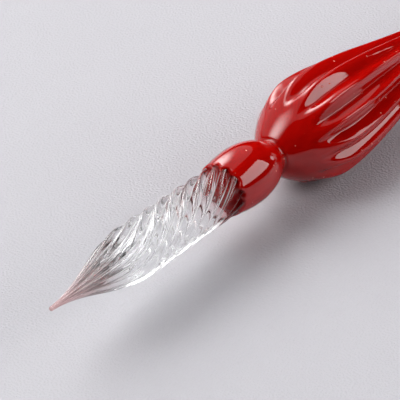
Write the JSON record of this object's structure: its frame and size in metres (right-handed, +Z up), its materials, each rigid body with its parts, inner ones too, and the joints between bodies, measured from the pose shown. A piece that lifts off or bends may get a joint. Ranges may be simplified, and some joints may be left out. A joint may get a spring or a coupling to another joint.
{
  "type": "dip pen",
  "caption": "Lampworked glass dip pen: clear twisted fluted nib, red glass bulb and narrow neck, fluted teardrop grip, slim fluted stem and end ball.",
  "frame": {"origin": "centre of the footprint, on the table that the pen lies on", "axes": "+X from the writing point towards the end ball, +Z up from the table; the pen lies at rest, so its own axis rises about two degrees towards the nib"},
  "size_m": [0.1732, 0.0144, 0.0144],
  "materials": {
    "clear_glass": "clear flame-polished glass",
    "red_glass_bulb": "glossy opaque red glass, flame-polished",
    "red_glass_neck": "glossy opaque red glass, flame-polished",
    "red_glass_grip": "glossy opaque red glass, flame-polished, pressed grooves",
    "red_glass_stem": "glossy opaque red glass, flame-polished, drawn grooves",
    "red_glass_ball": "glossy opaque red glass, flame-polished"
  },
  "bodies": {
    "root": {"nib": "clear_glass", "bulb": "red_glass_bulb", "neck": "red_glass_neck", "grip": "red_glass_grip", "stem": "red_glass_stem", "ball": "red_glass_ball"}
  },
  "joints": []
}
